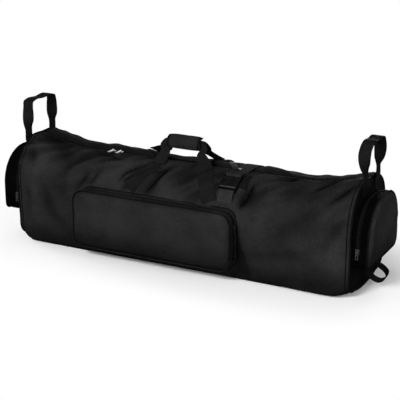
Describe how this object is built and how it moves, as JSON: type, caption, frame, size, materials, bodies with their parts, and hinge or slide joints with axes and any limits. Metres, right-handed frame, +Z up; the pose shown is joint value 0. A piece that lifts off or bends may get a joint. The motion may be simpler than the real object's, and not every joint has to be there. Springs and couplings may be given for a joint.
{
  "type": "drum hardware case",
  "caption": "Long soft nylon case for drum stands, with a zipped opening top, buckled strap, wrapped carry handles, end loops and zipped pockets on its front and ends.",
  "frame": {"origin": "on the floor under the middle of the case, between its two end panels and its front and rear panels", "axes": "+X along the case to the end with the low grab loop, -Y out of the side with the large pocket, +Z up"},
  "size_m": [1.2919, 0.3718, 0.4602],
  "materials": {
    "nylon": "woven ballistic nylon over foam padding",
    "webbing": "ribbed nylon webbing",
    "grip_cloth": "brushed padded cloth",
    "piping": "corded binding",
    "zip_tape": "woven tape with moulded coil",
    "zipper_metal": "bright plated",
    "buckle_plastic": "moulded, semi-gloss",
    "board": "matt sheet"
  },
  "bodies": {
    "case": {"base_panel": "nylon", "base_board": "board", "front_panel": "nylon", "rear_panel": "nylon", "left_end_panel": "nylon", "right_end_panel": "nylon", "left_end_piping": "piping", "right_end_piping": "piping", "left_end_yoke": "nylon", "right_end_yoke": "nylon", "strap_anchor": "webbing", "left_loop_tabs": "webbing", "right_loop_tabs": "webbing", "grab_loop_tabs": "webbing", "front_pocket_gusset": "nylon", "front_pocket_base_piping": "piping", "front_pocket_zip_base": "zip_tape", "right_pocket_gusset": "nylon", "right_pocket_base_piping": "piping", "right_pocket_zip_base": "zip_tape", "left_pocket_gusset": "nylon", "left_pocket_base_piping": "piping", "left_pocket_zip_base": "zip_tape"},
    "front_flap": {"front_top_panel": "nylon", "front_zip_tape": "zip_tape", "front_handle_tabs": "webbing", "lower_strap": "webbing", "buckle_socket": "buckle_plastic", "side_tab": "webbing"},
    "rear_flap": {"rear_top_panel": "nylon", "rear_zip_tape": "zip_tape", "rear_handle_tabs": "webbing"},
    "strap": {"upper_strap": "webbing", "buckle_plug": "buckle_plastic"},
    "front_handle": {"front_handle": "webbing", "grip_pad": "grip_cloth"},
    "rear_handle": {"rear_handle": "webbing"},
    "left_slider": {"left_slider": "zipper_metal"},
    "left_pull": {"left_pull": "zipper_metal"},
    "right_slider": {"right_slider": "zipper_metal"},
    "right_pull": {"right_pull": "zipper_metal"},
    "left_loop": {"left_end_loop": "webbing"},
    "right_loop": {"right_end_loop": "webbing"},
    "grab_loop": {"grab_loop": "webbing"},
    "front_pocket_cover": {"front_pocket_cover": "nylon", "front_pocket_cover_piping": "piping", "front_pocket_zip_face": "zip_tape"},
    "front_pocket_slider": {"front_pocket_slider": "zipper_metal"},
    "front_pocket_pull": {"front_pocket_pull": "zipper_metal"},
    "right_pocket_cover": {"right_pocket_cover": "nylon", "right_pocket_cover_piping": "piping", "right_pocket_zip_face": "zip_tape"},
    "right_pocket_slider": {"right_pocket_slider": "zipper_metal"},
    "right_pocket_pull": {"right_pocket_pull": "zipper_metal"},
    "left_pocket_cover": {"left_pocket_cover": "nylon", "left_pocket_cover_piping": "piping", "left_pocket_zip_face": "zip_tape"},
    "left_pocket_slider": {"left_pocket_slider": "zipper_metal"},
    "left_pocket_pull": {"left_pocket_pull": "zipper_metal"}
  },
  "joints": [
    {"name": "strap_swing", "type": "hinge", "parent": "case", "child": "strap", "pos_m": [0.176, 0.1574, 0.05], "axis": [-1, 0, 0], "range_deg": [0, 95]},
    {"name": "front_flap_open", "type": "hinge", "parent": "case", "child": "front_flap", "pos_m": [0, -0.1532, 0.233], "axis": [1, 0, 0], "range_deg": [0, 95]},
    {"name": "rear_flap_open", "type": "hinge", "parent": "case", "child": "rear_flap", "pos_m": [0, 0.1532, 0.233], "axis": [-1, 0, 0], "range_deg": [0, 95]},
    {"name": "front_handle_fold", "type": "hinge", "parent": "front_flap", "child": "front_handle", "pos_m": [0, -0.065, 0.30732], "axis": [1, 0, 0], "range_deg": [0, 125]},
    {"name": "rear_handle_fold", "type": "hinge", "parent": "rear_flap", "child": "rear_handle", "pos_m": [0, 0.065, 0.30732], "axis": [-1, 0, 0], "range_deg": [0, 125]},
    {"name": "left_slider_run", "type": "slide", "parent": "front_flap", "child": "left_slider", "axis": [-1, 0, 0], "range_m": [0, 0.085]},
    {"name": "left_pull_tilt", "type": "hinge", "parent": "left_slider", "child": "left_pull", "pos_m": [-0.303, 0, 0.3091], "axis": [-1, 0, 0], "range_deg": [0, 170]},
    {"name": "right_slider_run", "type": "slide", "parent": "front_flap", "child": "right_slider", "axis": [1, 0, 0], "range_m": [0, 0.415]},
    {"name": "right_pull_tilt", "type": "hinge", "parent": "right_slider", "child": "right_pull", "pos_m": [-0.275, 0, 0.3091], "axis": [-1, 0, 0], "range_deg": [0, 170]},
    {"name": "front_pocket_open", "type": "hinge", "parent": "case", "child": "front_pocket_cover", "pos_m": [-0.054, -0.21, 0.04], "axis": [1, 0, 0], "range_deg": [0, 80]},
    {"name": "front_pocket_slider_run", "type": "slide", "parent": "case", "child": "front_pocket_slider", "axis": [0, 0, -1], "range_m": [0, 0.095]},
    {"name": "front_pocket_pull_tilt", "type": "hinge", "parent": "front_pocket_slider", "child": "front_pocket_pull", "pos_m": [0.2256, -0.178, 0.182], "axis": [0, -1, 0], "range_deg": [0, 150]},
    {"name": "right_pocket_open", "type": "hinge", "parent": "case", "child": "right_pocket_cover", "pos_m": [0.629, 0, 0.095], "axis": [0, 1, 0], "range_deg": [0, 80]},
    {"name": "right_pocket_slider_run", "type": "slide", "parent": "case", "child": "right_pocket_slider", "axis": [0, 0, 1], "range_m": [-0.025, 0.022]},
    {"name": "right_pocket_pull_tilt", "type": "hinge", "parent": "right_pocket_slider", "child": "right_pocket_pull", "pos_m": [0.6, -0.1386, 0.15], "axis": [-1, 0, 0], "range_deg": [0, 150]},
    {"name": "left_pocket_open", "type": "hinge", "parent": "case", "child": "left_pocket_cover", "pos_m": [-0.646, 0, 0.095], "axis": [0, -1, 0], "range_deg": [0, 80]},
    {"name": "left_pocket_slider_run", "type": "slide", "parent": "case", "child": "left_pocket_slider", "axis": [0, 0, 1], "range_m": [-0.025, 0.022]},
    {"name": "left_pocket_pull_tilt", "type": "hinge", "parent": "left_pocket_slider", "child": "left_pocket_pull", "pos_m": [-0.6, -0.1386, 0.15], "axis": [-1, 0, 0], "range_deg": [0, 150]},
    {"name": "left_loop_tilt", "type": "hinge", "parent": "case", "child": "left_loop", "pos_m": [-0.5885, 0, 0.349], "axis": [0, -1, 0], "range_deg": [-80, 100]},
    {"name": "right_loop_tilt", "type": "hinge", "parent": "case", "child": "right_loop", "pos_m": [0.5885, 0, 0.349], "axis": [0, 1, 0], "range_deg": [-80, 100]},
    {"name": "grab_loop_tilt", "type": "hinge", "parent": "case", "child": "grab_loop", "pos_m": [0.5882, 0.025, 0.048], "axis": [0, -1, 0], "range_deg": [-10, 55]}
  ],
  "couplings": [
    {"joint": "front_flap_open", "follows": "strap_swing", "ratio": 1},
    {"joint": "rear_flap_open", "follows": "strap_swing", "ratio": 1},
    {"joint": "rear_handle_fold", "follows": "front_handle_fold", "ratio": 1}
  ]
}
